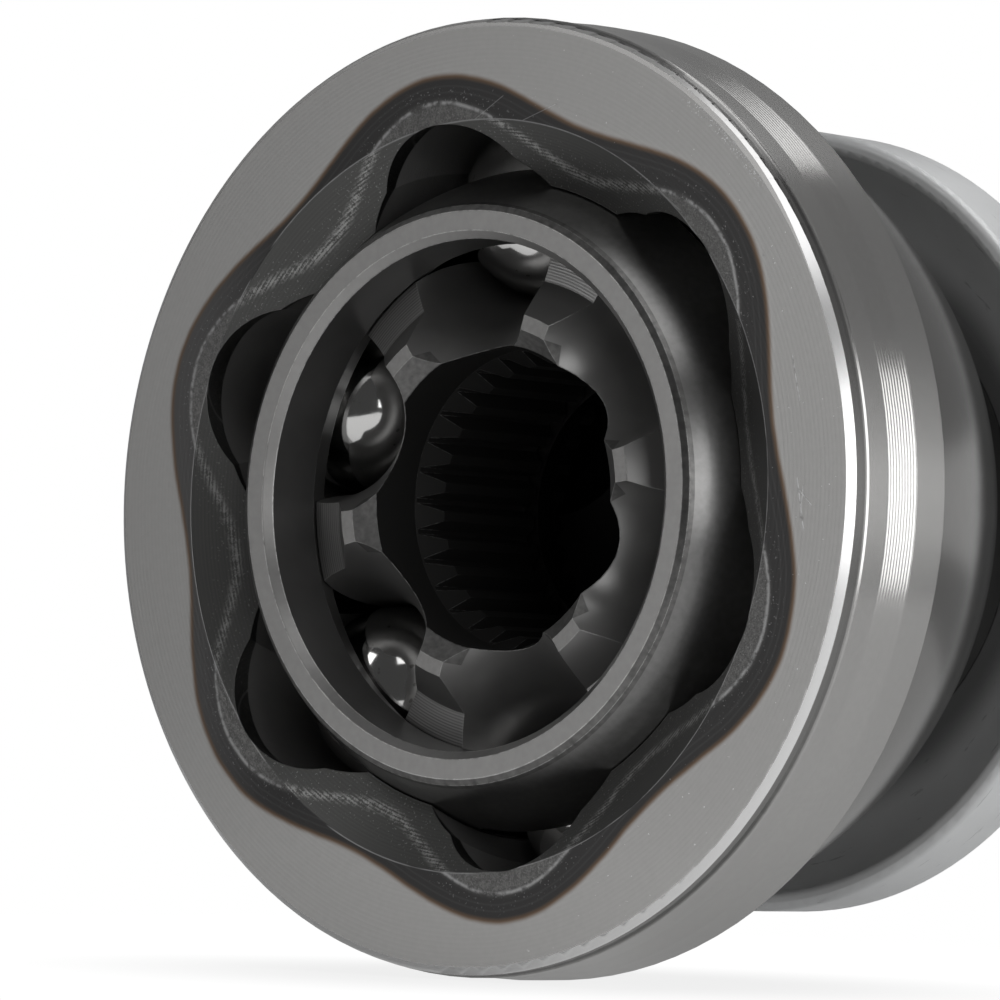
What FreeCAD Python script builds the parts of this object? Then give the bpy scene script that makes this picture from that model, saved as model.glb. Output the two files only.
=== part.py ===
import FreeCAD, Part
import math
import os

# Outboard constant velocity joint of the six ball, fixed centre kind, with its stub axle.
# It lies as it is fitted to a car: the joint axis runs along Y, the open mouth that takes the
# drive shaft faces -Y, the stub axle that goes into the wheel hub points to +Y, and +Z is up.
# The origin is the joint centre, about which the drive shaft end swings.
# Each piece is drawn with the joint axis along z, where r is the distance from that axis and
# z is the height above the joint centre towards the mouth, and is then laid on its side.
# All lengths are in millimetres and all angles in degrees.

# Balls and the two circles of track centres
BALLS = 6
BALL_DIAMETER = 17.462
PITCH_RADIUS = 29.0
TRACK_OFFSET = 3.0
FIRST_TRACK_ANGLE = 40.0
TRACK_CLEARANCE = 0.17

# Cage
CAGE_OUTER_RADIUS = 32.6
CAGE_INNER_RADIUS = 26.75
CAGE_BORE_RADIUS = 24.0
CAGE_FRONT = 18.4
CAGE_REAR = -17.0
CAGE_FACE_INNER_RADIUS = 24.75
CAGE_FACE_OUTER_RADIUS = 26.6
CAGE_FRONT_CHAMFER = 0.4
WINDOW_LENGTH = 23.0
WINDOW_CORNER = 4.0
WINDOW_CLEARANCE = 0.32
SPHERE_CLEARANCE = 0.15

# Inner race
INNER_SPHERE_HALF_WIDTH = 11.3
HUB_FRONT = 15.1
HUB_RADIUS = 17.55
HUB_BORE_CHAMFER_RADIUS = 16.15
HUB_BORE_CHAMFER_DEPTH = 1.5
INNER_LAND_RADIUS = 20.8
INNER_LAND_FRONT = 11.75
INNER_REAR = -13.0
INNER_REAR_RADIUS = 19.5
INNER_REAR_STEP = 0.8
INNER_TRACK_ANGLE = 60.0
SHAFT_BORE_RADIUS = 14.37
SHAFT_BORE_END = 8.0
SPLINE_TEETH = 30
SPLINE_MINOR_RADIUS = 13.2
SPLINE_MAJOR_RADIUS = 14.3
SPLINE_LEAD_IN = 3.0
SPLINE_CUT_OVERRUN = 0.5
SPACE_TIP_SHARE = 0.08
SPACE_ROOT_SHARE = 0.46

# Retaining ring of the drive shaft, near the rear end of the inner race
CIRCLIP_PLACE = -9.6
CIRCLIP_WIRE = 1.8
CIRCLIP_INNER_RADIUS = 12.9
CIRCLIP_GAP_ANGLE = 26.0
CIRCLIP_GROOVE_CLEARANCE = 0.2

# Outer race: mouth and cavity
MOUTH_FRONT = 17.0
MOUTH_RADIUS = 44.85
MOUTH_CORNER = 1.0
CAVITY_BOTTOM = -28.0
OUTER_TRACK_LOW_ANGLE = 45.0
OUTER_TRACK_HIGH_ANGLE = 45.0
ENTRY_EDGE_HEIGHT = 13.7
ENTRY_RADIUS = 35.3
TRACK_RELIEF_SHIFT = 5.7
TRACK_RELIEF_GROWTH = 3.9
TRACK_RELIEF_OFFSET = 2.0

# Outer race: outside
LIP_LENGTH = 1.5
LIP_RELIEF = 0.08
SEAT_START = 2.0
SEAT_END = 5.1
SEAT_STEP = 0.2
BAND_END = 9.1
RIM_STEP = 0.45
RIM_LENGTH = 13.3
RIM_FILLET = 1.2
BODY_RADIUS = 41.2
SHOULDER_RADIUS = 25.0
SHOULDER_END = -38.5

# Stub axle
JOURNAL_RADIUS = 17.5
JOURNAL_LENGTH = 14.0
JOURNAL_UNDERCUT = 0.6
STUB_SPLINE_TEETH = 30
STUB_SPLINE_MAJOR_RADIUS = 14.7
STUB_SPLINE_MINOR_RADIUS = 13.5
STUB_SPLINE_LENGTH = 46.0
TOOTH_TIP_SHARE = 0.16
TOOTH_ROOT_SHARE = 0.42
THREAD_RADIUS = 12.0
THREAD_LENGTH = 23.0
THREAD_RELIEF_RADIUS = 10.6
THREAD_RELIEF_LENGTH = 4.0
END_CHAMFER = 1.5
CENTRE_HOLE_RADIUS = 4.0

# Dust shield
SHIELD_RADIUS = 38.7
SHIELD_SHEET = 2.0
SHIELD_FRONT = -27.3
SHIELD_LIP_LENGTH = 7.5
SHIELD_LIP_CORNER = 0.8
SHIELD_DISH_EDGE = -29.2
SHIELD_COLLAR_FRONT = -35.4
SHIELD_DISH_SAG = 1.3

# Derived sizes
BALL_RADIUS = BALL_DIAMETER / 2
TRACK_RADIUS = BALL_RADIUS + TRACK_CLEARANCE
TRACK_ARC_RADIUS = math.hypot(PITCH_RADIUS, TRACK_OFFSET)
RACE_SPHERE_RADIUS = CAGE_INNER_RADIUS - SPHERE_CLEARANCE
BELL_SPHERE_RADIUS = CAGE_OUTER_RADIUS + SPHERE_CLEARANCE
SEAT_RADIUS = MOUTH_RADIUS + SEAT_STEP
RIM_RADIUS = MOUTH_RADIUS + RIM_STEP
STEP_ANGLE = 360 / BALLS
ARC_MIDDLE_CUT = 1 - math.sqrt(0.5)
FAR = 100.0

ORIGIN = FreeCAD.Vector(0, 0, 0)
JOINT_AXIS = FreeCAD.Vector(0, 0, 1)


def point(r, z):
    return FreeCAD.Vector(r, 0, z)


def on_circle(radius, z, centre=0.0):
    """Distance from the joint axis of a circle about a centre on the axis, at height z."""
    return math.sqrt(radius ** 2 - (z - centre) ** 2)


def circle_middle(radius, start_z, end_z, centre=0.0):
    """Point of that circle halfway round between two heights."""
    start = math.asin((start_z - centre) / radius)
    end = math.asin((end_z - centre) / radius)
    middle = (start + end) / 2
    return (radius * math.cos(middle), centre + radius * math.sin(middle))


def turned(path):
    """Solid turned about the joint axis. A step is a point (r, z), or (middle, end) of an arc."""
    edges = []
    here = point(*path[0])
    for step in path[1:] + path[:1]:
        if isinstance(step[0], tuple):
            end = point(*step[1])
            edges.append(Part.Arc(here, point(*step[0]), end).toShape())
        else:
            end = point(*step)
            if not end.isEqual(here, 1e-6):
                edges.append(Part.LineSegment(here, end).toShape())
        here = end
    return Part.Face(Part.Wire(edges)).revolve(ORIGIN, JOINT_AXIS, 360)


def around(shape):
    """One copy of a shape at each track."""
    copies = []
    for number in range(BALLS):
        copy = shape.copy()
        copy.rotate(ORIGIN, JOINT_AXIS, FIRST_TRACK_ANGLE + number * STEP_ANGLE)
        copies.append(copy)
    return copies


def track_tube(centre_z, low_angle, high_angle, arc_radius=TRACK_ARC_RADIUS, radius=TRACK_RADIUS):
    """Path swept by a ball about a centre on the joint axis, with a rounded lower end."""
    ring_centre = point(0, centre_z)
    hinge = FreeCAD.Vector(0, 1, 0)
    middle = point(arc_radius, centre_z)
    disc = Part.Face(Part.Wire(Part.makeCircle(radius, middle, JOINT_AXIS)))
    disc.rotate(ring_centre, hinge, low_angle)
    tube = disc.revolve(ring_centre, hinge, -(low_angle + high_angle))
    ball_end = Part.makeSphere(radius, middle)
    ball_end.rotate(ring_centre, hinge, low_angle)
    return tube.fuse(ball_end)


def outer_track():
    """Track of the outer race, with relieved edges that fade out away from the mouth."""
    track = track_tube(TRACK_OFFSET, OUTER_TRACK_LOW_ANGLE, OUTER_TRACK_HIGH_ANGLE)
    relief = track_tube(
        TRACK_RELIEF_OFFSET, OUTER_TRACK_LOW_ANGLE, OUTER_TRACK_HIGH_ANGLE,
        TRACK_ARC_RADIUS - TRACK_RELIEF_SHIFT, TRACK_RADIUS + TRACK_RELIEF_GROWTH)
    return track.fuse(relief)


def splined_bar(teeth, tip_radius, root_radius, tip_share, root_share, low, high):
    """Bar with straight sided teeth. The shares are half widths of a tooth, in tooth pitches."""
    pitch = 2 * math.pi / teeth
    flank = ((root_share, root_radius), (tip_share, tip_radius))
    tooth = [(-share, r) for share, r in flank] + [(share, r) for share, r in reversed(flank)]
    corners = []
    for number in range(teeth):
        for share, r in tooth:
            angle = (number + share) * pitch
            corners.append(FreeCAD.Vector(r * math.cos(angle), r * math.sin(angle), low))
    face = Part.Face(Part.makePolygon(corners + corners[:1]))
    return face.extrude(JOINT_AXIS * (high - low))


def outer_race_outside():
    """Bell, shoulder and stub axle as one turned bar, without the cavity."""
    rim_back = MOUTH_FRONT - RIM_LENGTH
    body_start = rim_back - RIM_FILLET
    body_start_r = on_circle(BODY_RADIUS, body_start, TRACK_OFFSET)
    shoulder_start = TRACK_OFFSET - math.sqrt(BODY_RADIUS ** 2 - SHOULDER_RADIUS ** 2)
    body_middle = circle_middle(BODY_RADIUS, body_start, shoulder_start, TRACK_OFFSET)
    corner = MOUTH_CORNER * ARC_MIDDLE_CUT
    journal_end = SHOULDER_END - JOURNAL_LENGTH
    spline_end = journal_end - STUB_SPLINE_LENGTH
    axle_end = spline_end - THREAD_LENGTH
    return turned([
        (0, MOUTH_FRONT),
        (MOUTH_RADIUS - MOUTH_CORNER, MOUTH_FRONT),
        ((MOUTH_RADIUS - corner, MOUTH_FRONT - corner), (MOUTH_RADIUS, MOUTH_FRONT - MOUTH_CORNER)),
        (MOUTH_RADIUS - LIP_RELIEF, MOUTH_FRONT - LIP_LENGTH),
        (SEAT_RADIUS, MOUTH_FRONT - SEAT_START),
        (SEAT_RADIUS, MOUTH_FRONT - SEAT_END),
        (RIM_RADIUS, MOUTH_FRONT - BAND_END),
        (RIM_RADIUS, rim_back),
        (body_start_r + RIM_FILLET, rim_back),
        (body_start_r, body_start),
        (body_middle, (SHOULDER_RADIUS, shoulder_start)),
        (SHOULDER_RADIUS, SHOULDER_END),
        (JOURNAL_RADIUS, SHOULDER_END),
        (JOURNAL_RADIUS, journal_end + JOURNAL_UNDERCUT),
        (JOURNAL_RADIUS - JOURNAL_UNDERCUT, journal_end),
        (STUB_SPLINE_MINOR_RADIUS, journal_end),
        (STUB_SPLINE_MINOR_RADIUS, spline_end),
        (THREAD_RELIEF_RADIUS, spline_end),
        (THREAD_RELIEF_RADIUS, spline_end - THREAD_RELIEF_LENGTH),
        (THREAD_RADIUS, spline_end - THREAD_RELIEF_LENGTH),
        (THREAD_RADIUS, axle_end + END_CHAMFER),
        (THREAD_RADIUS - END_CHAMFER, axle_end),
        (CENTRE_HOLE_RADIUS, axle_end),
        (0, axle_end + CENTRE_HOLE_RADIUS * math.sqrt(3)),
    ])


def outer_race():
    journal_end = SHOULDER_END - JOURNAL_LENGTH
    spline_end = journal_end - STUB_SPLINE_LENGTH
    body = outer_race_outside()
    teeth = splined_bar(
        STUB_SPLINE_TEETH, STUB_SPLINE_MAJOR_RADIUS, STUB_SPLINE_MINOR_RADIUS,
        TOOTH_TIP_SHARE, TOOTH_ROOT_SHARE, spline_end, journal_end)
    body = body.fuse(teeth)
    entry_edge_radius = on_circle(BELL_SPHERE_RADIUS, ENTRY_EDGE_HEIGHT)
    bottom_radius = on_circle(BELL_SPHERE_RADIUS, CAVITY_BOTTOM)
    wall_middle = circle_middle(BELL_SPHERE_RADIUS, CAVITY_BOTTOM, ENTRY_EDGE_HEIGHT)
    cavity = turned([
        (0, CAVITY_BOTTOM),
        (bottom_radius, CAVITY_BOTTOM),
        (wall_middle, (entry_edge_radius, ENTRY_EDGE_HEIGHT)),
        (ENTRY_RADIUS, MOUTH_FRONT),
        (0, MOUTH_FRONT),
    ])
    return body.cut([cavity] + around(outer_track()))


def inner_race():
    sphere_r = on_circle(RACE_SPHERE_RADIUS, INNER_SPHERE_HALF_WIDTH)
    rear_edge = INNER_REAR + INNER_REAR_STEP
    bore_edge = HUB_FRONT - HUB_BORE_CHAMFER_DEPTH
    body = turned([
        (SHAFT_BORE_RADIUS, bore_edge),
        (HUB_BORE_CHAMFER_RADIUS, HUB_FRONT),
        (HUB_RADIUS, HUB_FRONT),
        (INNER_LAND_RADIUS, INNER_LAND_FRONT),
        (sphere_r, INNER_SPHERE_HALF_WIDTH),
        ((RACE_SPHERE_RADIUS, 0), (sphere_r, -INNER_SPHERE_HALF_WIDTH)),
        (INNER_LAND_RADIUS, rear_edge),
        (INNER_REAR_RADIUS, INNER_REAR),
        (SPLINE_MINOR_RADIUS, INNER_REAR),
        (SPLINE_MINOR_RADIUS, SHAFT_BORE_END - SPLINE_LEAD_IN),
        (SHAFT_BORE_RADIUS, SHAFT_BORE_END),
    ])
    gaps = splined_bar(
        SPLINE_TEETH, SPLINE_MAJOR_RADIUS, SPLINE_MINOR_RADIUS - SPLINE_CUT_OVERRUN,
        SPACE_TIP_SHARE, SPACE_ROOT_SHARE, INNER_REAR - SPLINE_CUT_OVERRUN, SHAFT_BORE_END)
    groove_half = CIRCLIP_WIRE / 2 + CIRCLIP_GROOVE_CLEARANCE
    groove_radius = CIRCLIP_INNER_RADIUS + CIRCLIP_WIRE + CIRCLIP_GROOVE_CLEARANCE
    groove = turned([
        (0, CIRCLIP_PLACE - groove_half),
        (groove_radius, CIRCLIP_PLACE - groove_half),
        (groove_radius, CIRCLIP_PLACE + groove_half),
        (0, CIRCLIP_PLACE + groove_half),
    ])
    tracks = around(track_tube(-TRACK_OFFSET, INNER_TRACK_ANGLE, INNER_TRACK_ANGLE))
    return body.cut([gaps, groove] + tracks)


def window():
    """Cutter for one cage window: a slot with rounded corners, running outwards through the wall."""
    half_height = BALL_RADIUS + WINDOW_CLEARANCE
    box = Part.makeBox(
        FAR, WINDOW_LENGTH, 2 * half_height, FreeCAD.Vector(0, -WINDOW_LENGTH / 2, -half_height))
    corners = [edge for edge in box.Edges if abs(edge.tangentAt(edge.FirstParameter).x) > 0.9]
    return box.makeFillet(WINDOW_CORNER, corners)


def cage():
    front_edge = CAGE_FRONT - CAGE_FRONT_CHAMFER
    outer_front = on_circle(CAGE_OUTER_RADIUS, front_edge)
    outer_rear = on_circle(CAGE_OUTER_RADIUS, CAGE_REAR)
    seat = math.sqrt(CAGE_INNER_RADIUS ** 2 - CAGE_BORE_RADIUS ** 2)
    inner_chamfer = CAGE_FACE_INNER_RADIUS - CAGE_BORE_RADIUS
    body = turned([
        (CAGE_BORE_RADIUS, seat),
        (CAGE_BORE_RADIUS, CAGE_FRONT - inner_chamfer),
        (CAGE_FACE_INNER_RADIUS, CAGE_FRONT),
        (CAGE_FACE_OUTER_RADIUS, CAGE_FRONT),
        (outer_front, front_edge),
        (circle_middle(CAGE_OUTER_RADIUS, front_edge, CAGE_REAR), (outer_rear, CAGE_REAR)),
        (CAGE_BORE_RADIUS, CAGE_REAR),
        (CAGE_BORE_RADIUS, -seat),
        ((CAGE_INNER_RADIUS, 0), (CAGE_BORE_RADIUS, seat)),
    ])
    return body.cut(around(window()))


def circlip():
    """Split ring of square wire."""
    low = CIRCLIP_PLACE - CIRCLIP_WIRE / 2
    ring = turned([
        (CIRCLIP_INNER_RADIUS, low),
        (CIRCLIP_INNER_RADIUS + CIRCLIP_WIRE, low),
        (CIRCLIP_INNER_RADIUS + CIRCLIP_WIRE, low + CIRCLIP_WIRE),
        (CIRCLIP_INNER_RADIUS, low + CIRCLIP_WIRE),
    ])
    half_gap = CIRCLIP_INNER_RADIUS * math.sin(math.radians(CIRCLIP_GAP_ANGLE / 2))
    gap_corner = FreeCAD.Vector(0, -half_gap, low - CIRCLIP_WIRE)
    gap = Part.makeBox(FAR, 2 * half_gap, 3 * CIRCLIP_WIRE, gap_corner)
    return ring.cut(gap)


def dust_shield():
    """Pressed ring with a rolled lip round its rim and a collar that grips the bell's shoulder."""
    lip_inner = SHIELD_RADIUS - SHIELD_SHEET
    lip_rear = SHIELD_FRONT - SHIELD_LIP_LENGTH
    corner = SHIELD_LIP_CORNER
    cut = corner * ARC_MIDDLE_CUT
    front_rim = SHIELD_FRONT - corner
    collar_radius = SHOULDER_RADIUS + SHIELD_SHEET
    middle_r = (lip_inner + collar_radius) / 2
    middle_z = (SHIELD_DISH_EDGE + SHIELD_COLLAR_FRONT) / 2 - SHIELD_DISH_SAG
    return turned([
        (SHOULDER_RADIUS, SHIELD_COLLAR_FRONT),
        (collar_radius, SHIELD_COLLAR_FRONT),
        ((middle_r, middle_z), (lip_inner, SHIELD_DISH_EDGE)),
        (lip_inner, front_rim),
        ((lip_inner + cut, SHIELD_FRONT - cut), (lip_inner + corner, SHIELD_FRONT)),
        (SHIELD_RADIUS - corner, SHIELD_FRONT),
        ((SHIELD_RADIUS - cut, SHIELD_FRONT - cut), (SHIELD_RADIUS, front_rim)),
        (SHIELD_RADIUS, lip_rear),
        (lip_inner, lip_rear),
        (lip_inner, SHIELD_DISH_EDGE - SHIELD_SHEET),
        ((middle_r, middle_z - SHIELD_SHEET), (collar_radius, SHIELD_COLLAR_FRONT - SHIELD_SHEET)),
        (collar_radius, SHOULDER_END),
        (SHOULDER_RADIUS, SHOULDER_END),
    ])


def ball(number):
    turn = math.radians(FIRST_TRACK_ANGLE + number * STEP_ANGLE)
    centre = FreeCAD.Vector(PITCH_RADIUS * math.cos(turn), PITCH_RADIUS * math.sin(turn), 0)
    return Part.makeSphere(BALL_RADIUS, centre)


def save(name, shape):
    """Lays a piece on its side, mouth towards -Y, and writes it."""
    laid = shape.copy()
    laid.rotate(ORIGIN, FreeCAD.Vector(1, 0, 0), 90)
    laid.exportStep(os.path.join("parts", name + ".step"))
    print(name, laid.isValid(), len(laid.Solids), round(laid.Volume / 1000, 3), "cm3")


os.makedirs("parts", exist_ok=True)
save("outer_race", outer_race())
save("dust_shield", dust_shield())
save("cage", cage())
save("inner_race", inner_race())
save("circlip", circlip())
for number in range(BALLS):
    save("ball_" + str(number + 1), ball(number))
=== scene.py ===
import bpy
import math
from mathutils import Matrix, Vector


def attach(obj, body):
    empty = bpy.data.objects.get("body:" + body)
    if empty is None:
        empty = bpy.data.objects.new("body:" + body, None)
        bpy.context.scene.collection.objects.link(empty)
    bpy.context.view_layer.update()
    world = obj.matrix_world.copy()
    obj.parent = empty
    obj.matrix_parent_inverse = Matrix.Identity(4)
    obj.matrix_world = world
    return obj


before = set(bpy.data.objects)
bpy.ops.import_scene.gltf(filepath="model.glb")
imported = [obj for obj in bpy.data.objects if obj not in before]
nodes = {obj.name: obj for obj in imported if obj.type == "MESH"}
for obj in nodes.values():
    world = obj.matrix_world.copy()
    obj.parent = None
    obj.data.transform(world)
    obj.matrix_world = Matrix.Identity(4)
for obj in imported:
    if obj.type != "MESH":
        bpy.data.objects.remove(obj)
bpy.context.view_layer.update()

# The object lies with its joint axis along Y, mouth towards -Y. The joint centre is the origin.
# In the materials, r is the distance from the joint axis and height is the distance in front of
# the joint centre, towards the mouth, both in millimetres.
MM = 0.001

# Camera, in the row frame. The lens is for a 36 mm wide, square picture.
CAMERA_PLACE = (0.38265, -0.46662, -0.02427)
CAMERA_DISTANCE = 0.6
CAMERA_AZIMUTH = 40.11
CAMERA_ELEVATION = -2.32
CAMERA_ROLL = -1.95
SENSOR_WIDTH = 36.0
FOCAL_SHARE = 6.319

# Soft boxes: name, azimuth and elevation in degrees, distance, width and height, and radiance
LAMPS = (
    ("right", 20, 6, 1.5, (1.53, 1.05), 2.7),
    ("fore", -24, 6, 1.5, (0.95, 0.7), 1.6),
    ("side", -116, 6, 1.5, (0.74, 0.6), 1.0),
    ("key", -108, 40, 1.5, (0.42, 0.42), 1.8),
    ("front", -40, 50, 1.5, (0.7, 0.5), 1.2),
    ("top", 98, 50, 1.4, (0.48, 0.38), 1.4),
    ("high", 5, 66, 1.4, (0.8, 1.0), 1.5),
    ("back", 76, 3, 1.5, (1.2, 0.34), 0.40),
)

# Brightness of the room for everything but the camera. It changes where the cosine of the angle
# to the direction behind the object lies between two values.
WORLD_FRONT = 0.05
WORLD_BEHIND = 0.24
WORLD_CHANGE = (-0.35, 0.15)

# Floor, with its size in metres. A white glow covers a share of it: for the camera from under the
# object to far off, and in reflections from behind the object to in front. The distances over
# which these shares change are in millimetres.
FLOOR_SIZE = 0.30
FLOOR_HEIGHT = -45.3
FLOOR_COLOUR = (0.7, 0.7, 0.7)
FLOOR_GLOW = 1.02
FLOOR_FADE = (18.0, 62.0)
FLOOR_SEEN = (0.82, 1.0)
FLOOR_NEARER = (-10.0, 50.0)
FLOOR_REFLECTED = (0.2, 0.42)

# Places on the bell, in millimetres
TRACKS = 6
TRACK_ANGLE = math.radians(40)
TRACK_OFFSET = 3.0
MOUTH_FRONT = 17.0
ENTRY_RADIUS = 35.3
ENTRY_BACK = 13.7
# Heights over which the cavity's scale darkens into painted shade
SCALE_SHADE_DEPTHS = (-22.0, -12.0)
RIDGE_FRONT = 11.8
RIDGE_BACK = 7.95
RIM_BACK = 3.7
RIM_INNER_RADIUS = 43.5
RIM_RADIUS = 45.3
BODY_RADIUS = 41.2
SPLINE_FRONT = -52.5
THREAD_FRONT = -98.5

# Thread on the stub axle. Its profile gives places in pitches and their share of the depth.
THREAD_START = -103.3
THREAD_END = -119.5
THREAD_PITCH = 1.5
THREAD_STEPS = 48
THREAD_TAPER_STEPS = 12
THREAD_VALLEY = 12.02
THREAD_DEPTH = 0.45
THREAD_PROFILE = ((-0.5, 0), (-0.1, 1), (0.1, 1), (0.5, 0))

# Front corner of the rim. Places are distances along the rim's outline: the face is below 0 and
# the side above 0. The tilts are those of the surface's normal away from the mouth's direction.
# The corner gets narrower towards the top, between two heights along z.
CORNER_START = -1.18
CORNER_START_TOP = -0.6
CORNER_END = 0.12
CORNER_TURN = (-0.4, -0.3)
CORNER_TILT = math.radians(60)
# Stretch of the outline behind the corner that gets painted shade
CORNER_GROOVE_SHADE = (0.2, 1.4)
CORNER_STEP = (1.64, 1.92)
STEP_TILT = math.radians(75)
RIM_TOP = (18.0, 32.0)

# Heat tint and scuffs round the mouth: mean radius and swing of their six lobes. The tint reaches
# out further towards +x, by its lean for each millimetre.
TINT_RADIUS = 37.95
TINT_SWING = 1.95
TINT_LEAN = 0.006
SCUFF_RADIUS = 34.75
SCUFF_SWING = 2.9

# Wear of the mouth: the paler side and the pitted side, along x, and the bruised stretch of the
# edge, by azimuth in radians and radius
WORN_SIDE = (-38.0, -22.0)
PITTED_SIDE = (-10.0, 25.0)
BRUISE_AZIMUTH = (0.70, 0.98)
BRUISE_RADIUS = (43.3, 44.1)

# Scratches on the mouth face: from x and z, to x and z, and width, in millimetres
SCRATCHES = (
    (18.5, 30.1, 24.2, 26.0, 0.14),
    (-1.3, 35.0, 2.6, 37.4, 0.08),
    (5.1, 35.0, 9.2, 36.4, 0.08),
    (38.6, 1.5, 39.5, -3.1, 0.14),
    (39.3, 1.0, 39.1, -2.2, 0.10),
    (38.9, 0.4, 40.3, -0.9, 0.10),
    (37.6, 12.6, 38.6, 8.5, 0.10),
    (30.1, 32.3, 30.4, 32.1, 0.50),
)

# Places on the cage, the inner race and the shield, in millimetres
CAGE_FRONT = 18.4
CAGE_FACE_OUTER = 26.6
CAGE_INSIDE_RADIUS = 26.9
HUB_FRONT = 15.1
HUB_CHAMFER_RADIUS = 16.15
HUB_RADIUS = 17.55
BORE_RADIUS = 14.37
LAND_FRONT = 11.75
LAND_RADIUS = 20.8
LAND_SLOPE = 0.137
RACE_RADIUS = 26.6
# Radii over which the shield's dish darkens into painted shade
SHIELD_SHADE_RADIUS = (26.0, 31.0)

# Colours of the bell
BELL_BARE = (0.46, 0.455, 0.447)
# Painted highlight on the chamfer of the rim's front corner
BELL_CORNER_HIGHLIGHT = (0.9, 0.9, 0.9)
BELL_TEETH = (0.24, 0.235, 0.228)
BELL_NICKS = (0.95, 0.95, 0.95)
BELL_DARK_NICKS = (0.5, 0.5, 0.5)
BELL_BROWN = (0.16, 0.10, 0.06)
BELL_SOOT = (0.055, 0.054, 0.054)
BELL_SOOT_LINES = (0.3, 0.3, 0.3)
BELL_STRIP = (0.25, 0.248, 0.243)
BELL_SCUFFS = (0.45, 0.45, 0.45)
BELL_FLECKS = (0.5, 0.5, 0.5)
BELL_CONE = (0.12, 0.12, 0.117)
BELL_CONE_RUB = (0.62, 0.62, 0.61)
BELL_CONE_DOTS = (0.6, 0.6, 0.59)
BELL_ENTRY_RING = (0.42, 0.42, 0.42)
BELL_SCALE = (0.34, 0.337, 0.333)
# Black scale with painted shade, deep in the cavity
BELL_DEEP_SCALE_SHADE = (0.03, 0.03, 0.03)

# Colours of the other pieces
CAGE_OUTSIDE = (0.26, 0.258, 0.255)
CAGE_INSIDE = (0.15, 0.148, 0.146)
CAGE_FACE = (0.37, 0.365, 0.36)
CAGE_CHAMFER = (0.17, 0.168, 0.165)
# Edge wear and painted highlight of the cage
CAGE_EDGE_WEAR_AND_HIGHLIGHT = (0.95, 0.95, 0.94)
RACE_DARK = (0.36, 0.357, 0.353)
RACE_HUB_SIDE = (0.30, 0.297, 0.294)
RACE_CHAMFER = (0.19, 0.188, 0.185)
RACE_RING = (0.34, 0.335, 0.33)
# Painted shade inside the race's bore
RACE_BORE_SHADE = (0.05, 0.049, 0.048)
# Edge wear and painted highlight of the inner race
RACE_EDGE_WEAR_AND_HIGHLIGHT = (0.7, 0.7, 0.69)
BALL_CHROME = (0.78, 0.775, 0.765)
BALL_SPECKS = (0.12, 0.1, 0.09)
SHIELD_PLATE = (0.80, 0.81, 0.815)
SHIELD_SCRATCHES = (0.28, 0.285, 0.29)
# Painted shade in the shield's dish
SHIELD_DISH_SHADE = (0.06, 0.06, 0.06)
SPRING_BLACK = (0.16, 0.155, 0.15)


def add_camera():
    """Looks at the mouth as the photograph does."""
    data = bpy.data.cameras.new("camera")
    data.sensor_width = SENSOR_WIDTH
    data.sensor_fit = "HORIZONTAL"
    data.lens = SENSOR_WIDTH * FOCAL_SHARE
    data.clip_start = 0.01
    camera = bpy.data.objects.new("camera", data)
    turn = Matrix.Rotation(math.radians(CAMERA_AZIMUTH), 4, "Z")
    tilt = Matrix.Rotation(math.radians(90 - CAMERA_ELEVATION), 4, "X")
    roll = Matrix.Rotation(math.radians(-CAMERA_ROLL), 4, "Z")
    camera.matrix_world = Matrix.Translation(CAMERA_PLACE) @ turn @ tilt @ roll
    bpy.context.scene.collection.objects.link(camera)
    bpy.context.scene.camera = camera


def add_area(name, azimuth, elevation, distance, size, radiance):
    """Soft box lamp in a given direction from the object, facing it."""
    data = bpy.data.lights.new(name, "AREA")
    data.shape = "RECTANGLE"
    data.size = size[0]
    data.size_y = size[1]
    data.energy = radiance * math.pi * size[0] * size[1]
    lamp = bpy.data.objects.new(name, data)
    flat = distance * math.cos(math.radians(elevation))
    lamp.location = (
        flat * math.cos(math.radians(azimuth)),
        flat * math.sin(math.radians(azimuth)),
        distance * math.sin(math.radians(elevation)))
    lamp.rotation_euler = (-Vector(lamp.location)).to_track_quat("-Z", "Y").to_euler()
    lamp.visible_camera = False
    bpy.context.scene.collection.objects.link(lamp)


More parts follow.
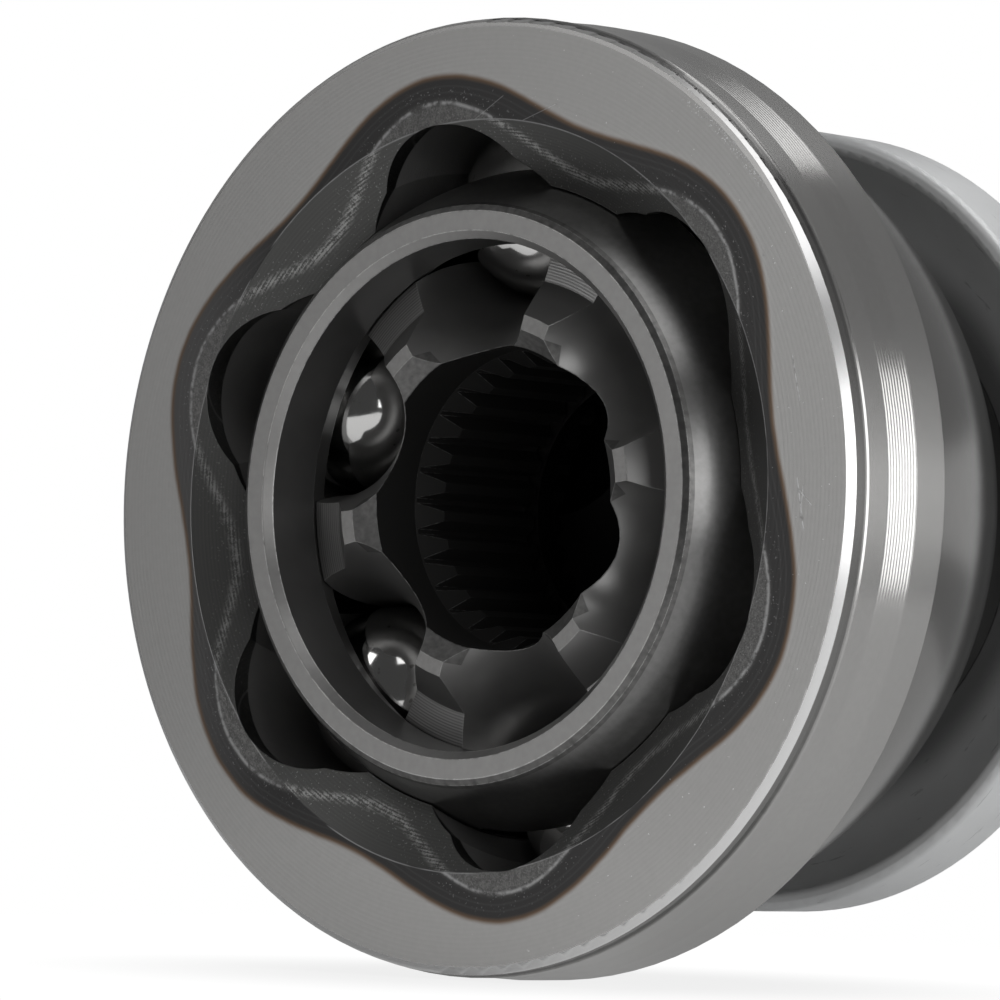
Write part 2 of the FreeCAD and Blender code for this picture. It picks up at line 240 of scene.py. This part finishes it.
class Nodes:
    """Nodes of one material. Wherever a value goes, a number, a colour or a socket may be given."""

    def __init__(self, name):
        self.material = bpy.data.materials.new(name)
        self.material.use_nodes = True
        self.tree = self.material.node_tree
        self.tree.nodes.clear()
        self.place = self.put("TexCoord").outputs["Object"]
        parts = self.put("SeparateXYZ", Vector=self.place)
        self.x = self.multiply(parts.outputs["X"], 1 / MM)
        self.height = self.multiply(parts.outputs["Y"], -1 / MM)
        self.z = self.multiply(parts.outputs["Z"], 1 / MM)
        self.r = self.length(self.x, self.z)
        self.azimuth = self.math("ARCTAN2", self.z, self.x)

    def put(self, kind, settings=None, **inputs):
        node = self.tree.nodes.new("ShaderNode" + kind)
        for key, value in (settings or {}).items():
            setattr(node, key, value)
        for key, value in inputs.items():
            self.feed(node.inputs[key.replace("_", " ")], value)
        return node

    def feed(self, socket, value):
        if isinstance(value, bpy.types.NodeSocket):
            self.tree.links.new(value, socket)
        elif isinstance(value, tuple) and len(value) == 3 and socket.type == "RGBA":
            socket.default_value = (*value, 1)
        else:
            socket.default_value = value

    def math(self, operation, first, second=0.0):
        node = self.put("Math", {"operation": operation})
        self.feed(node.inputs[0], first)
        self.feed(node.inputs[1], second)
        return node.outputs[0]

    def add(self, first, second):
        return self.math("ADD", first, second)

    def subtract(self, first, second):
        return self.math("SUBTRACT", first, second)

    def multiply(self, first, second):
        return self.math("MULTIPLY", first, second)

    def larger(self, first, second):
        return self.math("MAXIMUM", first, second)

    def length(self, first, second):
        """Distance over two sides at right angles."""
        squares = self.add(self.multiply(first, first), self.multiply(second, second))
        return self.math("SQRT", squares)

    def rise(self, value, low, high):
        """0 below low, 1 above high and smooth between."""
        node = self.put("MapRange", {"interpolation_type": "SMOOTHSTEP"}, Value=value)
        node.inputs["From Min"].default_value = low
        node.inputs["From Max"].default_value = high
        return node.outputs["Result"]

    def fall(self, value, low, high):
        """1 below low, 0 above high and smooth between."""
        return self.subtract(1.0, self.rise(value, low, high))

    def band(self, value, low, high, soft):
        """1 from low to high, fading out over a soft edge on each side."""
        start = self.rise(value, low - soft, low + soft)
        return self.multiply(start, self.fall(value, high - soft, high + soft))

    def noise(self, scale, detail=2.0, stretch=(1, 1, 1)):
        """Noise in the piece's own place, with its scale in cycles per millimetre."""
        mapped = self.put("Mapping", Vector=self.place)
        mapped.inputs["Scale"].default_value = [scale * share / MM for share in stretch]
        node = self.put("TexNoise", Vector=mapped.outputs[0], Scale=1.0, Detail=detail)
        return node.outputs["Fac"]

    def lines(self, along, pitch, detail=1.0):
        """Uneven turning lines across a distance, a pitch apart."""
        wave = self.multiply(along, 1 / pitch)
        node = self.put("TexNoise", {"noise_dimensions": "1D"}, W=wave, Scale=1.0, Detail=detail)
        return node.outputs["Fac"]

    def ribs(self, along, pitch, wander=0.0):
        """Even turning lines across a distance, a pitch apart."""
        turns = self.add(self.multiply(along, 2 * math.pi / pitch), self.multiply(wander, 3.0))
        return self.add(self.multiply(self.math("SINE", turns), 0.5), 0.5)

    def mix(self, share, first, second):
        """First number where the share is 0, second where it is 1."""
        node = self.put("Mix", {"data_type": "FLOAT"})
        self.feed(node.inputs["Factor"], share)
        self.feed(node.inputs["A"], first)
        self.feed(node.inputs["B"], second)
        return node.outputs["Result"]

    def blend(self, mask, under, over, share=1.0):
        """Lays a colour over another where a mask is 1, or a share of it."""
        if share != 1.0:
            mask = self.multiply(mask, share)
        node = self.put("Mix", {"data_type": "RGBA"})
        self.feed(node.inputs[0], mask)
        self.feed(node.inputs[6], under)
        self.feed(node.inputs[7], over)
        return node.outputs[2]

    def shade(self, colour, pattern, low, high):
        """Colour made lighter or darker, by a factor that follows a pattern from low to high."""
        node = self.put("VectorMath", {"operation": "SCALE"})
        self.feed(node.inputs[0], colour)
        self.feed(node.inputs["Scale"], self.mix(pattern, low, high))
        return node.outputs[0]

    def stroke(self, from_x, from_z, to_x, to_z, width):
        """1 on a straight scratch between two places on the mouth face."""
        length = math.hypot(to_x - from_x, to_z - from_z)
        share_x = (to_x - from_x) / length
        share_z = (to_z - from_z) / length
        x = self.subtract(self.x, from_x)
        z = self.subtract(self.z, from_z)
        along = self.add(self.multiply(x, share_x), self.multiply(z, share_z))
        across = self.subtract(self.multiply(z, share_x), self.multiply(x, share_z))
        ends = self.band(along, 0.0, length, 0.15)
        return self.multiply(ends, self.band(across, -width / 2, width / 2, width / 3))

    def bevel(self, width, samples=6):
        """Normal rounded over the edges."""
        return self.put("Bevel", {"samples": samples}, Radius=width * MM).outputs[0]

    def edge(self, width):
        """1 along sharp edges and 0 on the faces beside them."""
        node = self.put("VectorMath", {"operation": "DOT_PRODUCT"})
        self.feed(node.inputs[0], self.bevel(width, samples=4))
        self.feed(node.inputs[1], self.put("NewGeometry").outputs["Normal"])
        return self.fall(node.outputs["Value"], 0.94, 0.995)

    def turned_normal(self, tilt, mask, width):
        """Normal tilted outwards from the mouth's direction in a mask, and bevelled outside it."""
        outwards = self.math("DIVIDE", self.math("SINE", tilt), self.r)
        normal = self.put("CombineXYZ")
        self.feed(normal.inputs["X"], self.multiply(self.x, outwards))
        self.feed(normal.inputs["Y"], self.multiply(self.math("COSINE", tilt), -1.0))
        self.feed(normal.inputs["Z"], self.multiply(self.z, outwards))
        node = self.put("Mix", {"data_type": "VECTOR"})
        self.feed(node.inputs[0], mask)
        self.feed(node.inputs[4], self.bevel(width))
        self.feed(node.inputs[5], normal.outputs[0])
        return node.outputs[1]

    def metal(self, colour, roughness, relief, relief_height, normal=None, metallic=1.0):
        """Ends the material in a metal, with a relief of so many millimetres on its normal."""
        shader = self.put("BsdfPrincipled", Metallic=metallic)
        self.feed(shader.inputs["Base Color"], colour)
        self.feed(shader.inputs["Roughness"], roughness)
        bump = self.put("Bump", Strength=1.0, Distance=relief_height * MM, Height=relief)
        if normal is not None:
            self.feed(bump.inputs["Normal"], normal)
        self.feed(shader.inputs["Normal"], bump.outputs[0])
        self.finish(shader)
        return self.material

    def finish(self, shader):
        out = self.put("OutputMaterial")
        self.tree.links.new(shader.outputs[0], out.inputs["Surface"])


class BellNodes(Nodes):
    """Zones of the bell: machined outside, tinted mouth face, turned entry cone, black inside."""

    def __init__(self):
        super().__init__("bell_steel")
        self.coarse = self.noise(0.12, 3)
        self.fine = self.noise(1.6, 4)
        self.speck = self.noise(6.5, 2)

        # Distances outside the lobed outlines of the tint and the scuffs
        tint = self.past_lobes(TINT_RADIUS, TINT_SWING)
        self.tint = self.subtract(tint, self.multiply(self.x, TINT_LEAN))
        self.scuff = self.past_lobes(SCUFF_RADIUS, SCUFF_SWING)

        # The cavity and the tracks lie nearer to the track centre than the outside of the body does
        reach = self.length(self.r, self.subtract(self.height, TRACK_OFFSET))
        is_inside = self.fall(reach, BODY_RADIUS - 0.7, BODY_RADIUS - 0.3)
        self.on_face = self.rise(self.height, MOUTH_FRONT - 0.04, MOUTH_FRONT - 0.01)
        self.is_mouth = self.larger(self.on_face, is_inside)
        self.behind_entry = self.fall(self.height, ENTRY_BACK - 0.1, ENTRY_BACK + 0.1)
        self.cavity = self.multiply(is_inside, self.behind_entry)
        on_cone = self.fall(self.height, MOUTH_FRONT - 0.06, MOUTH_FRONT - 0.03)
        on_cone = self.multiply(on_cone, self.rise(self.height, ENTRY_BACK - 0.1, ENTRY_BACK))
        within_entry = self.fall(self.r, ENTRY_RADIUS + 0.2, ENTRY_RADIUS + 0.4)
        self.on_cone = self.multiply(on_cone, within_entry)
        self.cone_inside = self.multiply(self.on_cone, is_inside)

        # Outside, from the front corner of the rim to the stub axle
        ahead = self.subtract(self.height, MOUTH_FRONT)
        self.along = self.subtract(self.subtract(self.r, RIM_RADIUS), ahead)
        self.on_rim = self.multiply(
            self.rise(self.r, RIM_INNER_RADIUS, RIM_INNER_RADIUS + 0.1),
            self.rise(self.height, RIDGE_FRONT + 0.1, RIDGE_FRONT + 0.3))
        self.at_top = self.rise(self.z, *RIM_TOP)
        start = self.mix(self.at_top, CORNER_START, CORNER_START_TOP)
        corner = self.rise(self.subtract(self.along, start), -0.02, 0.02)
        end = self.fall(self.along, CORNER_END - 0.02, CORNER_END + 0.02)
        self.corner = self.multiply(self.multiply(self.on_rim, corner), end)
        self.groove_shade = self.multiply(self.on_rim, self.band(self.along, *CORNER_GROOVE_SHADE, 0.08))
        self.step = self.multiply(self.on_rim, self.band(self.along, *CORNER_STEP, 0.06))
        self.ridges = self.band(self.height, RIDGE_BACK, RIDGE_FRONT, 0.06)
        self.body = self.fall(self.height, RIM_BACK - 0.1, RIM_BACK + 0.1)
        self.teeth = self.band(self.height, THREAD_FRONT, SPLINE_FRONT, 0.2)

        # Wear, and the granular strip round the tracks
        self.worn_side = self.fall(self.x, *WORN_SIDE)
        self.marks = self.nicks()
        grain = self.add(self.multiply(self.speck, 0.6), self.multiply(self.fine, 0.4))
        self.grain = self.rise(grain, 0.38, 0.66)
        strip = self.band(self.scuff, -3.4, -0.15, 0.6)
        self.strip = self.multiply(strip, self.mix(self.coarse, 0.35, 0.9))

        # Turning lines of the face and the cone
        even = self.multiply(self.ribs(self.r, 0.45, self.coarse), 0.5)
        self.face_lines = self.add(even, self.multiply(self.lines(self.r, 0.2, 1), 0.5))
        even = self.multiply(self.ribs(self.r, 0.3), 0.35)
        self.cone_lines = self.add(even, self.multiply(self.lines(self.r, 0.12, 2), 0.65))

    def past_lobes(self, radius, swing):
        """Distance outside a wandering outline with a lobe at each track."""
        angle = self.multiply(self.subtract(self.azimuth, TRACK_ANGLE), float(TRACKS))
        outline = self.add(self.multiply(self.math("COSINE", angle), swing), radius)
        wander = self.multiply(self.subtract(self.coarse, 0.5), 0.5)
        return self.add(self.subtract(self.r, outline), wander)

    def nicks(self):
        """1 on the pits, scratches and bruised edge of the mouth face."""
        marks = self.rise(self.noise(2.6, 1), 0.765, 0.78)
        marks = self.multiply(marks, self.rise(self.x, *PITTED_SIDE))
        for scratch in SCRATCHES:
            marks = self.larger(marks, self.stroke(*scratch))
        bruise = self.multiply(
            self.band(self.azimuth, *BRUISE_AZIMUTH, 0.02), self.band(self.r, *BRUISE_RADIUS, 0.2))
        bruise = self.multiply(bruise, self.rise(self.noise(4.0, 2), 0.56, 0.6))
        return self.multiply(self.larger(marks, bruise), self.on_face)

    def machined_colour(self):
        """Bare steel of the outside and the mouth face, with its nicks, a painted highlight on the
        rim's front corner and painted shade in the groove behind it.
        """
        colour = self.shade(BELL_BARE, self.fine, 0.95, 1.05)
        colour = self.shade(colour, self.body, 1.0, 0.6)
        # Painted highlight: the chamfer of the rim's front corner is painted near white, more
        # faintly at the top.
        corner_highlight = self.multiply(self.corner, self.mix(self.at_top, 0.9, 0.5))
        colour = self.blend(corner_highlight, colour, BELL_CORNER_HIGHLIGHT)
        # Painted shade: the groove band behind the corner is darkened to half.
        colour = self.shade(colour, self.groove_shade, 1.0, 0.5)
        colour = self.blend(self.teeth, colour, self.shade(BELL_TEETH, self.coarse, 0.7, 1.3))
        colour = self.shade(colour, self.multiply(self.on_face, self.face_lines), 1.02, 0.97)
        bright = self.multiply(self.marks, self.rise(self.fine, 0.3, 0.55))
        return self.blend(bright, colour, BELL_NICKS)

    def tinted_colour(self, machined):
        """Mouth face round the tracks, from grey through brown to black, with a grey strip."""
        colour = self.blend(self.fall(self.tint, -0.05, 0.55), machined, BELL_BROWN, 0.95)
        soot = self.shade(BELL_SOOT, self.worn_side, 1.0, 2.2)
        colour = self.blend(self.fall(self.tint, -0.42, 0.2), colour, soot)
        for inward in (0.9, 1.5):
            faint = self.band(self.tint, -inward - 0.06, -inward + 0.06, 0.12)
            colour = self.blend(faint, colour, BELL_SOOT_LINES, 0.07)
        colour = self.blend(self.strip, colour, self.shade(BELL_STRIP, self.grain, 0.6, 1.2))
        line = self.band(self.scuff, -0.35, -0.05, 0.16)
        line = self.multiply(line, self.rise(self.add(self.fine, self.coarse), 0.8, 1.15))
        colour = self.blend(line, colour, BELL_SCUFFS, 0.8)
        colour = self.blend(self.marks, colour, BELL_DARK_NICKS, 0.5)
        flecks = self.multiply(
            self.rise(self.noise(4.5, 1), 0.68, 0.74), self.band(self.scuff, -4.0, 1.4, 0.8))
        return self.blend(flecks, colour, BELL_FLECKS, 0.3)

    def cone_colour(self):
        """Turned entry cone: fine concentric lines, brightest where the scuffs cross it."""
        colour = self.shade(BELL_CONE, self.cone_lines, 0.9, 1.12)
        colour = self.shade(colour, self.worn_side, 1.0, 1.5)
        grain = self.add(self.multiply(self.fine, 0.5), self.multiply(self.speck, 0.45))
        grain = self.add(self.multiply(self.cone_lines, 0.35), grain)
        rub = self.multiply(self.band(self.scuff, -0.6, 0.1, 0.45), self.rise(grain, 0.55, 0.78))
        colour = self.blend(rub, colour, BELL_CONE_RUB, 0.75)
        dots = self.multiply(
            self.rise(self.noise(4.5, 1), 0.66, 0.72), self.band(self.scuff, -4.0, 1.6, 1.0))
        return self.blend(dots, colour, BELL_CONE_DOTS, 0.3)

    def colour(self):
        machined = self.machined_colour()
        mouth = self.blend(self.rise(self.tint, 0.7, 0.9), self.tinted_colour(machined), machined)
        cone = self.multiply(self.on_cone, self.fall(self.tint, -0.2, 0.1))
        mouth = self.blend(cone, mouth, self.cone_colour())
        entry_ring = self.multiply(
            self.band(self.r, ENTRY_RADIUS - 0.06, ENTRY_RADIUS + 0.06, 0.04),
            self.rise(self.coarse, 0.38, 0.52))
        mouth = self.blend(entry_ring, mouth, BELL_ENTRY_RING, 0.65)
        scale = self.shade(BELL_SCALE, self.coarse, 0.7, 1.3)
        # Painted shade: the cavity's black scale turns near black deeper in.
        scale = self.blend(self.fall(self.height, *SCALE_SHADE_DEPTHS), scale, BELL_DEEP_SCALE_SHADE)
        mouth = self.blend(self.cavity, mouth, scale)
        return self.blend(self.is_mouth, machined, mouth)

    def roughness(self):
        outside = self.mix(self.ridges, 0.21, 0.17)
        outside = self.mix(self.on_face, outside, 0.34)
        outside = self.mix(self.corner, outside, 0.32)
        outside = self.mix(self.teeth, outside, 0.4)
        mouth = self.mix(self.multiply(self.strip, self.grain), 0.30, 0.5)
        mouth = self.mix(self.on_cone, mouth, 0.42)
        mouth = self.mix(self.behind_entry, mouth, self.mix(self.coarse, 0.36, 0.46))
        is_dark = self.multiply(self.is_mouth, self.fall(self.tint, 0.2, 0.9))
        return self.mix(self.marks, self.mix(is_dark, outside, mouth), 0.6)

    def relief(self):
        """Turning marks and grain."""
        outer = self.multiply(self.multiply(self.ridges, self.ribs(self.height, 0.40)), 0.13)
        flat_face = self.multiply(self.on_face, self.subtract(1.0, self.corner))
        relief = self.mix(flat_face, outer, self.multiply(self.face_lines, 0.12))
        relief = self.mix(self.cone_inside, relief, self.multiply(self.cone_lines, 0.07))
        mouth_strip = self.multiply(self.strip, self.is_mouth)
        return self.add(relief, self.multiply(mouth_strip, self.multiply(self.grain, 0.5)))

    def corner_normal(self):
        """Chamfer and narrow step of the rim's front corner, crisper than the solid's round."""
        tilt = self.mix(self.rise(self.along, *CORNER_TURN), 0.0, math.pi / 2)
        tilt = self.mix(self.corner, tilt, CORNER_TILT)
        tilt = self.mix(self.step, tilt, STEP_TILT)
        return self.turned_normal(tilt, self.on_rim, 0.12)


def bell_steel():
    """Machined steel outside, heat tint round the mouth, black scale inside that is painted darker
    deeper in as shade, and a painted highlight on the rim's front corner.
    """
    n = BellNodes()
    metallic = n.subtract(1.0, n.multiply(n.cavity, 0.45))
    return n.metal(n.colour(), n.roughness(), n.relief(), 0.03, n.corner_normal(), metallic)


def cage_steel():
    """Gunmetal, with ground end faces, and its sharp edges painted bright as wear and painted
    highlight.
    """
    n = Nodes("cage_steel")
    fine = n.noise(1.4, 4)
    coarse = n.noise(0.15, 3)
    face = n.rise(n.math("ABSOLUTE", n.height), CAGE_FRONT - 0.85, CAGE_FRONT - 0.8)
    ball_side = n.rise(n.r, CAGE_INSIDE_RADIUS, CAGE_INSIDE_RADIUS + 0.3)
    inside = n.shade(CAGE_INSIDE, coarse, 0.7, 1.3)
    colour = n.blend(ball_side, inside, n.shade(CAGE_OUTSIDE, fine, 0.8, 1.2))
    colour = n.blend(face, colour, n.shade(CAGE_FACE, fine, 0.9, 1.1))
    chamfer = n.multiply(face, n.rise(n.r, CAGE_FACE_OUTER + 0.02, CAGE_FACE_OUTER + 0.08))
    colour = n.blend(chamfer, colour, n.shade(CAGE_CHAMFER, fine, 0.4, 1.6))
    # Edge wear and painted highlight: thin lines along the sharp edges are painted near white.
    worn_edge_highlight = n.multiply(n.edge(0.13), n.rise(fine, 0.3, 0.55))
    colour = n.blend(worn_edge_highlight, colour, CAGE_EDGE_WEAR_AND_HIGHLIGHT)
    rough = n.mix(face, n.mix(coarse, 0.26, 0.36), 0.36)
    rough = n.mix(worn_edge_highlight, rough, 0.5)
    coated = n.multiply(n.subtract(1.0, n.larger(face, ball_side)), 0.4)
    return n.metal(colour, rough, fine, 0.006, n.bevel(0.2), n.subtract(1.0, coated))


def race_steel():
    """Dark hardened steel, with turned lands and a grey hub face, its bore painted near black as
    shade and its front edges painted bright as wear and highlight.
    """
    n = Nodes("race_steel")
    fine = n.noise(1.8, 4)
    coarse = n.noise(0.2, 3)
    even = n.multiply(n.ribs(n.r, 0.28), 0.6)
    turned = n.add(even, n.multiply(n.lines(n.r, 0.14, 2), 0.4))

    # The zones are the surfaces of one turned shape, told apart by their distance from it
    hub_slope = (HUB_FRONT - LAND_FRONT) / (LAND_RADIUS - HUB_RADIUS)
    hub_side = n.add(n.height, n.multiply(n.subtract(n.r, HUB_RADIUS), hub_slope))
    hub_side = n.rise(hub_side, HUB_FRONT - 0.1, HUB_FRONT - 0.04)
    hub_side = n.multiply(hub_side, n.rise(n.height, LAND_FRONT, LAND_FRONT + 0.1))
    land = n.add(n.height, n.multiply(n.subtract(n.r, LAND_RADIUS), LAND_SLOPE))
    land = n.rise(land, LAND_FRONT - 0.1, LAND_FRONT - 0.04)
    land = n.multiply(land, n.rise(n.r, LAND_RADIUS - 0.05, LAND_RADIUS + 0.05))
    sphere = n.rise(n.length(n.r, n.height), RACE_RADIUS - 0.12, RACE_RADIUS - 0.05)
    ring = n.rise(n.height, HUB_FRONT - 0.05, HUB_FRONT - 0.02)
    ring = n.multiply(ring, n.fall(n.r, HUB_RADIUS, HUB_RADIUS + 0.05))
    chamfer = n.band(n.r, BORE_RADIUS + 0.05, HUB_CHAMFER_RADIUS, 0.04)
    chamfer = n.multiply(chamfer, n.rise(n.height, HUB_FRONT - 1.6, HUB_FRONT - 1.5))
    bore_shade = n.fall(n.r, BORE_RADIUS, BORE_RADIUS + 0.1)

    colour = n.blend(hub_side, n.shade(RACE_DARK, coarse, 0.8, 1.2), RACE_HUB_SIDE)
    colour = n.blend(n.larger(land, sphere), colour, n.shade(RACE_DARK, turned, 0.6, 1.4))
    colour = n.blend(chamfer, colour, n.shade(RACE_CHAMFER, fine, 0.5, 1.6))
    colour = n.blend(ring, colour, n.shade(RACE_RING, fine, 0.8, 1.15))
    # Painted shade: the bore is painted near black.
    colour = n.blend(bore_shade, colour, RACE_BORE_SHADE)
    # Edge wear and painted highlight: thin lines along the front edges are painted bright.
    worn_edge_highlight = n.multiply(n.edge(0.11), n.rise(fine, 0.3, 0.6))
    worn_edge_highlight = n.multiply(worn_edge_highlight, n.rise(n.height, 4.0, 6.0))
    colour = n.blend(worn_edge_highlight, colour, RACE_EDGE_WEAR_AND_HIGHLIGHT, 0.6)
    rough = n.mix(n.larger(ring, chamfer), n.mix(coarse, 0.26, 0.36), 0.42)
    rough = n.mix(bore_shade, rough, 0.55)
    relief = n.add(n.multiply(turned, land), n.multiply(fine, chamfer))
    return n.metal(colour, rough, relief, 0.01, n.bevel(0.12), n.mix(ring, 0.7, 1.0))


def ball_steel():
    """Polished chrome steel with a faint running haze."""
    n = Nodes("ball_steel")
    fine = n.noise(1.2, 5)
    speck = n.rise(n.noise(1.1, 1), 0.72, 0.76)
    colour = n.blend(speck, BALL_CHROME, BALL_SPECKS, 0.5)
    return n.metal(colour, n.mix(fine, 0.05, 0.13), fine, 0.0007)


def shield_steel():
    """Plated sheet steel, slightly bluish, with fine scratches. Its dish is painted darker towards
    the neck as shade.
    """
    n = Nodes("shield_steel")
    fine = n.noise(1.0, 5)
    coarse = n.noise(0.1, 3)
    drawn = n.lines(n.height, 0.3, 2)
    scratch = n.rise(n.noise(0.9, 4, stretch=(0.35, 3.0, 0.35)), 0.66, 0.72)
    colour = n.shade(SHIELD_PLATE, coarse, 0.85, 1.1)
    colour = n.blend(scratch, colour, SHIELD_SCRATCHES, 0.4)
    # Painted shade: the dish is darkened towards the neck.
    colour = n.blend(n.fall(n.r, *SHIELD_SHADE_RADIUS), colour, SHIELD_DISH_SHADE, 0.8)
    relief = n.add(n.multiply(drawn, 0.3), fine)
    return n.metal(colour, n.mix(fine, 0.38, 0.55), relief, 0.01, n.bevel(0.2), 0.45)


def spring_steel():
    """Blackened spring wire."""
    n = Nodes("spring_steel")
    fine = n.noise(1.5, 4)
    return n.metal(n.shade(SPRING_BLACK, fine, 0.7, 1.3), n.mix(fine, 0.3, 0.45), fine, 0.01)


def dress(node, material):
    slots = nodes[node].data.materials
    slots.clear()
    slots.append(material)


def add_thread():
    """Thread on the end of the stub axle: a rib that winds round it and tapers out at both ends."""
    count = round((THREAD_START - THREAD_END) / THREAD_PITCH * THREAD_STEPS)
    places = []
    for step in range(count + 1):
        angle = 2 * math.pi * step / THREAD_STEPS
        height = THREAD_START - THREAD_PITCH * step / THREAD_STEPS
        taper = min(step, THREAD_TAPER_STEPS, count - step) / THREAD_TAPER_STEPS
        depth = THREAD_DEPTH * taper
        for offset, share in THREAD_PROFILE:
            radius = THREAD_VALLEY + depth * share
            y = -height - offset * THREAD_PITCH
            place = (radius * math.cos(angle), y, radius * math.sin(angle))
            places.append([value * MM for value in place])
    faces = []
    width = len(THREAD_PROFILE)
    for step in range(count):
        for side in range(width - 1):
            first = width * step + side
            faces.append((first, first + 1, first + width + 1, first + width))
    mesh = bpy.data.meshes.new("stub_thread")
    mesh.from_pydata(places, [], faces)
    thread = bpy.data.objects.new("stub_thread", mesh)
    bpy.context.scene.collection.objects.link(thread)
    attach(thread, "outer_race")
    return thread


def add_floor():
    """Pale floor that the bell lies on. It fades to pure white away from the object's shadow."""
    bpy.ops.mesh.primitive_plane_add(size=FLOOR_SIZE, location=(0, 0, FLOOR_HEIGHT * MM))
    floor = bpy.context.object
    floor.name = "floor"
    n = Nodes("floor")
    diffuse = n.put("BsdfDiffuse", Color=FLOOR_COLOUR)
    glow = n.put("Emission", Color=(1.0, 1.0, 1.0), Strength=FLOOR_GLOW)
    path = n.put("LightPath")
    seen = n.mix(n.rise(n.length(n.x, n.height), *FLOOR_FADE), *FLOOR_SEEN)
    nearer = n.add(
        n.multiply(n.x, CAMERA_PLACE[0] / CAMERA_DISTANCE),
        n.multiply(n.height, -CAMERA_PLACE[1] / CAMERA_DISTANCE))
    reflected = n.mix(n.rise(nearer, *FLOOR_NEARER), *FLOOR_REFLECTED)
    glow_share = n.larger(
        n.multiply(path.outputs["Is Camera Ray"], seen),
        n.multiply(path.outputs["Is Glossy Ray"], reflected))
    mix = n.put("MixShader")
    n.feed(mix.inputs[0], glow_share)
    n.feed(mix.inputs[1], diffuse.outputs[0])
    n.feed(mix.inputs[2], glow.outputs[0])
    n.finish(mix)
    floor.data.materials.append(n.material)


def add_world():
    """White behind the object for the camera. For the rest dark in front and grey behind."""
    world = bpy.data.worlds.new("studio")
    bpy.context.scene.world = world
    world.use_nodes = True
    tree = world.node_tree
    tree.nodes.clear()
    direction = tree.nodes.new("ShaderNodeTexCoord")
    behind = tree.nodes.new("ShaderNodeVectorMath")
    behind.operation = "DOT_PRODUCT"
    tree.links.new(direction.outputs["Generated"], behind.inputs[0])
    behind.inputs[1].default_value = (
        -CAMERA_PLACE[0] / CAMERA_DISTANCE, -CAMERA_PLACE[1] / CAMERA_DISTANCE, 0.0)
    level = tree.nodes.new("ShaderNodeMapRange")
    level.interpolation_type = "SMOOTHSTEP"
    level.inputs["From Min"].default_value = WORLD_CHANGE[0]
    level.inputs["From Max"].default_value = WORLD_CHANGE[1]
    level.inputs["To Min"].default_value = WORLD_FRONT
    level.inputs["To Max"].default_value = WORLD_BEHIND
    tree.links.new(behind.outputs["Value"], level.inputs["Value"])
    grey = tree.nodes.new("ShaderNodeBackground")
    tree.links.new(level.outputs["Result"], grey.inputs["Strength"])
    grey.inputs["Color"].default_value = (1, 1, 1, 1)
    white = tree.nodes.new("ShaderNodeBackground")
    white.inputs["Color"].default_value = (1, 1, 1, 1)
    path = tree.nodes.new("ShaderNodeLightPath")
    mix = tree.nodes.new("ShaderNodeMixShader")
    out = tree.nodes.new("ShaderNodeOutputWorld")
    tree.links.new(path.outputs["Is Camera Ray"], mix.inputs[0])
    tree.links.new(grey.outputs[0], mix.inputs[1])
    tree.links.new(white.outputs[0], mix.inputs[2])
    tree.links.new(mix.outputs[0], out.inputs["Surface"])


bpy.context.scene.view_settings.view_transform = "Standard"
add_camera()
add_world()
add_floor()
for lamp in LAMPS:
    add_area(*lamp)

bell = bell_steel()
dress("outer_race", bell)
add_thread().data.materials.append(bell)
dress("dust_shield", shield_steel())
dress("cage", cage_steel())
dress("inner_race", race_steel())
dress("circlip", spring_steel())
balls = ball_steel()
for number in range(TRACKS):
    dress("ball_" + str(number + 1), balls)
